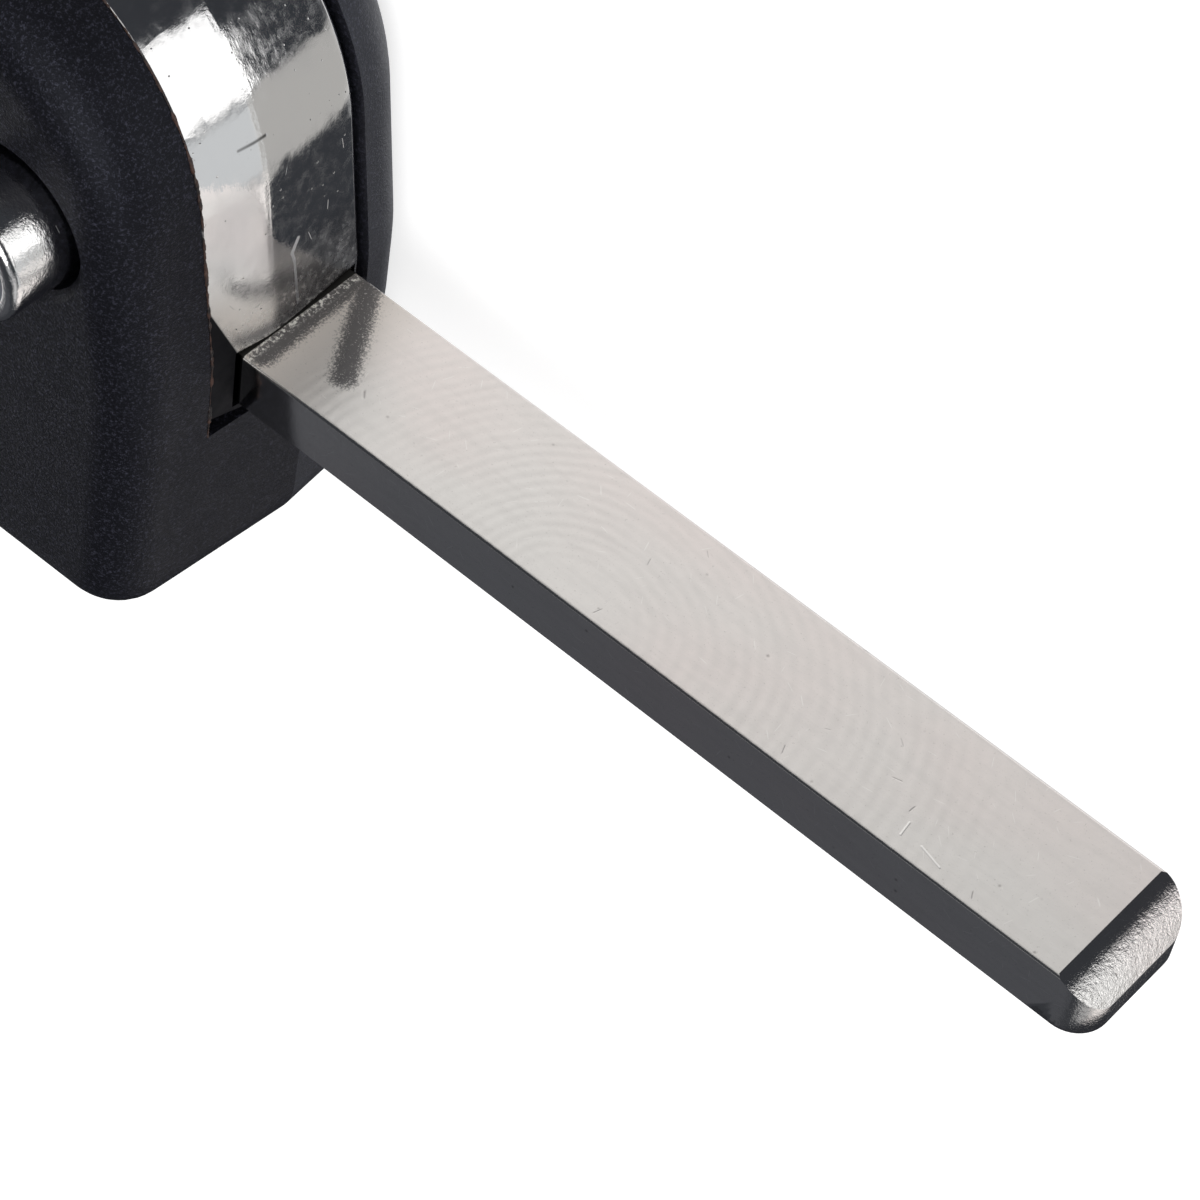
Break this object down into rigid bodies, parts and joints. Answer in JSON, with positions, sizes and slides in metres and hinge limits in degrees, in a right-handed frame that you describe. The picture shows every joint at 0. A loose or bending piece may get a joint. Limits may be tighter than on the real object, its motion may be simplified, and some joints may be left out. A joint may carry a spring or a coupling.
{
  "type": "flip key remote shell",
  "caption": "Black flip key shell with a blank blade on a chrome head that swings out past a round release button; room inside for a circuit board and a coin cell.",
  "frame": {"origin": "on the case's flat back face, on the axis that the head and its release button share", "axes": "+X towards the open blade's tip, +Y towards the side of the case that the blade folds into, +Z out of the back face towards the release button"},
  "size_m": [0.1092, 0.0331, 0.0194],
  "materials": {
    "case_black": "fine-grained matt moulding",
    "head_chrome": "bright plating with a faint orange peel",
    "blade_nickel": "nickel plate over milled arcs, unpolished",
    "button_chrome": "bright plating",
    "button_disc": "satin",
    "plain_steel": "turned",
    "spring_steel": "oiled",
    "contact_nickel": "bright nickel",
    "screw_steel": "black zinc",
    "key_black": "satin moulding",
    "grey_rubber": "matt"
  },
  "bodies": {
    "case": {"front_shell": "case_black", "rear_shell": "case_black", "spring_seat": "plain_steel", "flip_spring": "spring_steel", "key_mat": "grey_rubber", "battery_contact_minus": "contact_nickel", "battery_contact_plus": "contact_nickel", "shell_screws": "screw_steel"},
    "head": {"flip_head": "head_chrome", "key_blade": "blade_nickel", "blade_roll_pin": "spring_steel"},
    "button": {"release_button": "button_chrome", "release_button_disc": "button_disc", "lock_collar": "plain_steel", "stem_clip": "spring_steel"},
    "lock_key": {"lock_key_cap": "key_black"},
    "unlock_key": {"unlock_key_cap": "key_black"},
    "boot_key": {"boot_key_cap": "key_black"}
  },
  "joints": [
    {"name": "blade_flip", "type": "hinge", "parent": "case", "child": "head", "pos_m": [0, 0, 0.0075], "axis": [0, 0, 1], "range_deg": [0, 180], "stiffness_Nm_per_rad": 0.012, "springref_deg": -57.3},
    {"name": "release_press", "type": "slide", "parent": "head", "child": "button", "axis": [0, 0, -1], "range_m": [0, 0.0018], "stiffness_N_per_m": 2000, "springref_m": -0.001, "deforming": ["flip_spring"]},
    {"name": "lock_key_press", "type": "slide", "parent": "case", "child": "lock_key", "axis": [0, 0, -1], "range_m": [0, 0.0005], "stiffness_N_per_m": 400, "springref_m": -0.0005},
    {"name": "unlock_key_press", "type": "slide", "parent": "case", "child": "unlock_key", "axis": [0, 0, -1], "range_m": [0, 0.0005], "stiffness_N_per_m": 400, "springref_m": -0.0005},
    {"name": "boot_key_press", "type": "slide", "parent": "case", "child": "boot_key", "axis": [0, 0, -1], "range_m": [0, 0.0005], "stiffness_N_per_m": 400, "springref_m": -0.0005}
  ]
}
